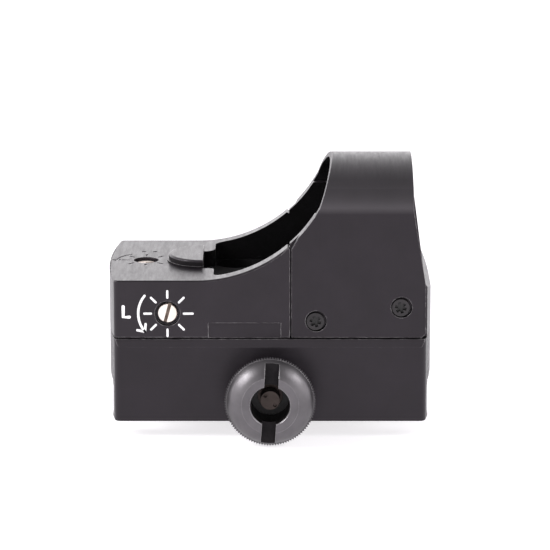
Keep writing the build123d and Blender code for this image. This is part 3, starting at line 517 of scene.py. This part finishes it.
def marks_piece(name, strokes, to_world, outward, material, body="housing"):
    """Thin raised prisms of 2-D outlines, laid on a face."""
    mesh = bmesh.new()
    for outline in strokes:
        low = [mesh.verts.new(to_world(u, v) - outward * MARK_SUNK) for u, v in outline]
        high = [mesh.verts.new(to_world(u, v) + outward * MARK_LIFT) for u, v in outline]
        mesh.faces.new(high)
        mesh.faces.new(low[::-1])
        count = len(outline)
        for i in range(count):
            j = (i + 1) % count
            mesh.faces.new((low[i], low[j], high[j], high[i]))
    bmesh.ops.recalc_face_normals(mesh, faces=mesh.faces)
    data = bpy.data.meshes.new(name)
    mesh.to_mesh(data)
    mesh.free()
    data.materials.append(material)
    piece = bpy.data.objects.new(name, data)
    bpy.context.scene.collection.objects.link(piece)
    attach(piece, body)


def tick_strokes(inner, outer, width, extra):
    """Ticks all round a screw; the first, towards the front, is longer by extra."""
    strokes = []
    for k in range(TICKS):
        turn = math.radians(360 / TICKS * k)
        reach = outer + (extra if k == 0 else 0.0)
        ends = [(r * math.cos(turn), r * math.sin(turn)) for r in (inner + width / 2, reach - width / 2)]
        strokes.append(ribbon(ends, width))
    return strokes


def arrow_strokes(radius, start, stop, width, barb):
    """Arc from start to stop degrees with two barbs at its end."""
    turns = [math.radians(start + (stop - start) * k / ARC_STEPS) for k in range(ARC_STEPS + 1)]
    arc = [(radius * math.cos(t), radius * math.sin(t)) for t in turns]
    tip, before = Vector(arc[-1]), Vector(arc[-2])
    back = (before - tip).normalized()
    barbs = []
    for lean in (BARB_LEAN, -BARB_LEAN):
        spin = math.radians(lean)
        side = Vector((back.x * math.cos(spin) - back.y * math.sin(spin),
                       back.x * math.sin(spin) + back.y * math.cos(spin)))
        barbs.append(ribbon([tuple(tip), tuple(tip + side * barb)], width))
    return [ribbon(arc, width)] + barbs


def add_marks():
    """White marks round the windage screw: eight ticks, a bent arrow and a plain L for left."""
    white = plain("mark_paint", (0.86, 0.85, 0.86), (0.95, 0.94, 0.95), 0.6, scale=2500)
    letter = [(-6.2, 1.0), (-6.2, -0.5), (-5.35, -0.5)]  # millimetres from the screw's axis
    strokes = tick_strokes(inner=2.15, outer=3.4, width=0.31, extra=0.3)
    strokes += arrow_strokes(radius=4.1, start=141, stop=219.5, width=0.34, barb=1.1)
    strokes.append(ribbon(letter, width=0.46))
    strokes = [[(u * MM, v * MM) for u, v in stroke] for stroke in strokes]
    marks_piece("side_marks", strokes, lambda u, v: Vector((WINDAGE_X + u, SIDE_Y, WINDAGE_Z + v)),
                Vector((0, -1, 0)), white)


# --- Studio -------------------------------------------------------------------------------------------
def add_floor():
    """White floor under the lowest point of the object."""
    mesh = bmesh.new()
    bmesh.ops.create_grid(mesh, x_segments=8, y_segments=8, size=FLOOR_HALF)
    data = bpy.data.meshes.new("floor")
    mesh.to_mesh(data)
    mesh.free()
    data.materials.append(floor_paper("floor_paper"))
    floor = bpy.data.objects.new("floor", data)
    floor.location.z = min(cad_box[0].z, knob_low.z)
    bpy.context.scene.collection.objects.link(floor)


def add_world():
    """Bright round the horizon, brightest behind, and dim overhead."""
    world = bpy.data.worlds.new("studio")
    bpy.context.scene.world = world
    world.use_nodes = True
    tree = world.node_tree
    background = tree.nodes["Background"]
    coords = tree.nodes.new("ShaderNodeTexCoord")
    split = tree.nodes.new("ShaderNodeSeparateXYZ")
    tree.links.new(coords.outputs["Generated"], split.inputs[0])

    def ramp(output, low, high, to_low, to_high):
        node = tree.nodes.new("ShaderNodeMapRange")
        node.interpolation_type = "SMOOTHSTEP"
        tree.links.new(split.outputs[output], node.inputs["Value"])
        set_range(node, low, high, to_low, to_high)
        return node.outputs["Result"]

    product = tree.nodes.new("ShaderNodeMath")
    product.operation = "MULTIPLY"
    tree.links.new(ramp("Y", *SKY_TURN_Y, SKY_FRONT, SKY_BACK), product.inputs[0])
    tree.links.new(ramp("Z", *SKY_TURN_Z, 1.0, SKY_TOP), product.inputs[1])
    tree.links.new(product.outputs[0], background.inputs["Strength"])
    background.inputs["Color"].default_value = (1.0, 0.985, 1.0, 1)


def add_light(name, place, aim, power):
    """Soft square light."""
    data = bpy.data.lights.new(name, "AREA")
    data.shape = "RECTANGLE"
    data.size, data.size_y = BOX_SIZE, BOX_SIZE
    data.energy = power
    light = bpy.data.objects.new(name, data)
    light.location = place
    light.rotation_mode = "QUATERNION"
    light.rotation_quaternion = (Vector(aim) - Vector(place)).to_track_quat("-Z", "Y")
    bpy.context.scene.collection.objects.link(light)


def add_lights():
    """Two softboxes above, left and right."""
    target = (0, 0, 0.01)
    add_light("left_box", (-0.55, -0.12, 0.42), target, LEFT_POWER)
    add_light("right_box", (0.55, -0.12, 0.42), target, RIGHT_POWER)


add_camera()
add_floor()
add_world()
add_lights()
paint_cad()
add_marks()
bpy.context.scene.view_settings.view_transform = "Standard"
